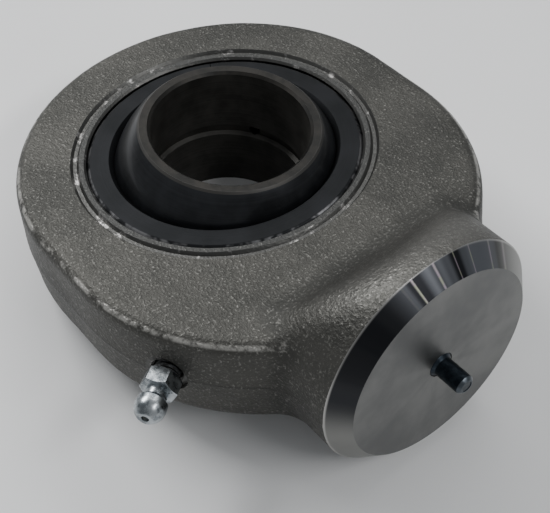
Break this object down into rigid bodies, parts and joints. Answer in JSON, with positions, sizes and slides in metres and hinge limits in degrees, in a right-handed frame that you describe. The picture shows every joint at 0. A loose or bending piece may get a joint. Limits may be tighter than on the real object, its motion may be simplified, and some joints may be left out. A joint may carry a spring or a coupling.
{
  "type": "rod end with spherical plain bearing",
  "caption": "Weld-on steel rod eye with a staked radial spherical plain bearing, a bevelled round weld face with centring pin, and a grease nipple.",
  "frame": {"origin": "centre of the bearing's sphere, on the axis of the clevis pin", "axes": "+Z along the axis of the bearing seat, +X along the shank out of the weld face, +Y completes a right-handed frame"},
  "size_m": [0.123, 0.099, 0.053],
  "materials": {
    "forging": "raw shot-blasted forged steel with machined faces",
    "outer_ring": "black phosphated hardened steel",
    "inner_ring": "black phosphated hardened steel, ground ball and bore",
    "nipple": "bright zinc plated",
    "check_ball": "polished steel",
    "spring": "drawn wire",
    "pin": "blued hardened steel"
  },
  "bodies": {
    "eye": {"rod_eye": "forging", "outer_ring": "outer_ring", "centring_pin": "pin", "nipple_body": "nipple", "nipple_spring": "spring"},
    "inner_ring": {"inner_ring": "inner_ring"},
    "check_ball": {"nipple_ball": "check_ball"}
  },
  "joints": [
    {"name": "bearing_tilt", "type": "hinge", "parent": "eye", "child": "inner_ring", "pos_m": [0, 0, 0], "axis": [-0.5878, 0.809, 0], "range_deg": [-23, 9]},
    {"name": "check_ball_travel", "type": "slide", "parent": "eye", "child": "check_ball", "axis": [-0.5592, 0.829, 0], "range_m": [0, 0.001], "stiffness_N_per_m": 200, "springref_m": -0.0015, "deforming": ["nipple_spring"]}
  ]
}
